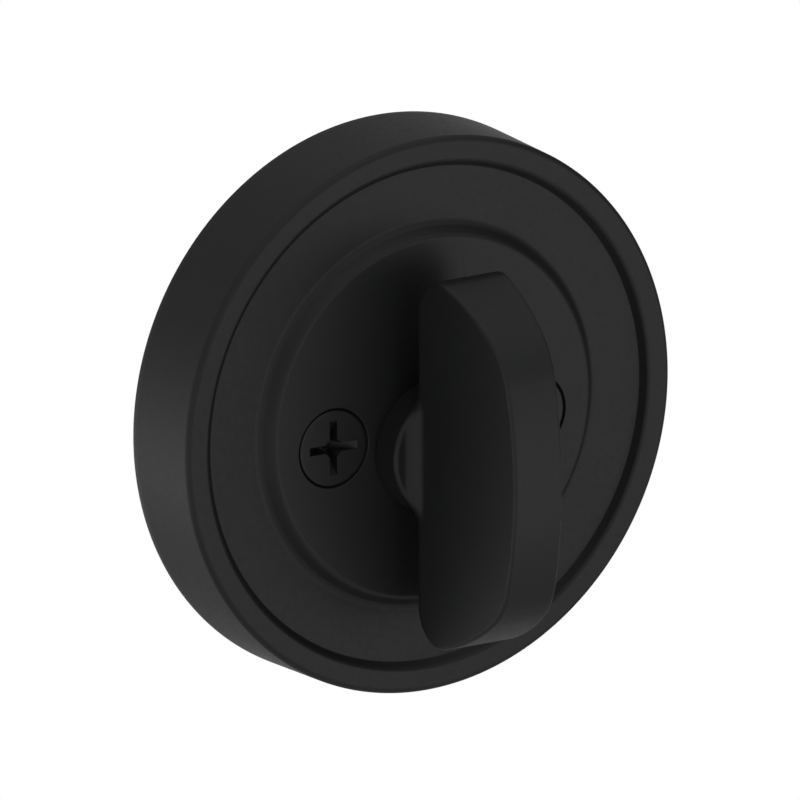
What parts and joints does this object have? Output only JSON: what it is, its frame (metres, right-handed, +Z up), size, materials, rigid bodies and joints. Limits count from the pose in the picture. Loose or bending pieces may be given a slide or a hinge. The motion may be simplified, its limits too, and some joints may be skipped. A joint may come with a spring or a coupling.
{
  "type": "deadbolt thumb turn trim",
  "caption": "Round interior deadbolt trim with a D-shaped thumb turn on a flat spindle, held to the door by two countersunk screws.",
  "frame": {"origin": "centre of the round rose, on the face of the door", "axes": "+Y points into the door, -Y towards the room, +Z up, +X to the right as seen from the room"},
  "size_m": [0.0666, 0.0729, 0.0666],
  "materials": {
    "black_paint": "matte black baked enamel on zinc casting",
    "black_screw": "black oxide and oil on steel",
    "zinc_steel": "bright zinc plated steel, stamped or turned",
    "spring_steel": "blued spring steel",
    "brass": "rolled brass sheet, blanked",
    "white_nylon": "natural nylon, moulded",
    "black_acetal": "black acetal, moulded",
    "foam": "closed-cell foam, die cut"
  },
  "bodies": {
    "trim": {"rose_cover": "black_paint", "mounting_screw_left": "black_screw", "mounting_screw_right": "black_screw", "mounting_plate": "zinc_steel", "door_gasket": "foam", "plate_screw_top": "zinc_steel", "plate_screw_left": "zinc_steel", "plate_screw_right": "zinc_steel", "spacer_left": "zinc_steel", "spacer_right": "zinc_steel", "screw_retainer_left": "white_nylon", "screw_retainer_right": "white_nylon", "spindle_bush": "black_acetal", "detent_spring_left": "spring_steel", "detent_spring_right": "spring_steel", "spring_rivet_left": "zinc_steel", "spring_rivet_right": "zinc_steel"},
    "turn": {"thumb_turn": "black_paint", "hub_washer": "white_nylon", "wave_washer": "spring_steel", "flat_washer": "brass", "retaining_ring": "spring_steel", "detent_cam": "brass", "spindle": "zinc_steel", "spindle_pin": "spring_steel"}
  },
  "joints": [
    {"name": "thumb_turn_hinge", "type": "hinge", "parent": "trim", "child": "turn", "pos_m": [0, 0, -0.0033], "axis": [0, -1, 0], "range_deg": [-90, 90], "deforming": ["detent_spring_left", "detent_spring_right"]}
  ]
}
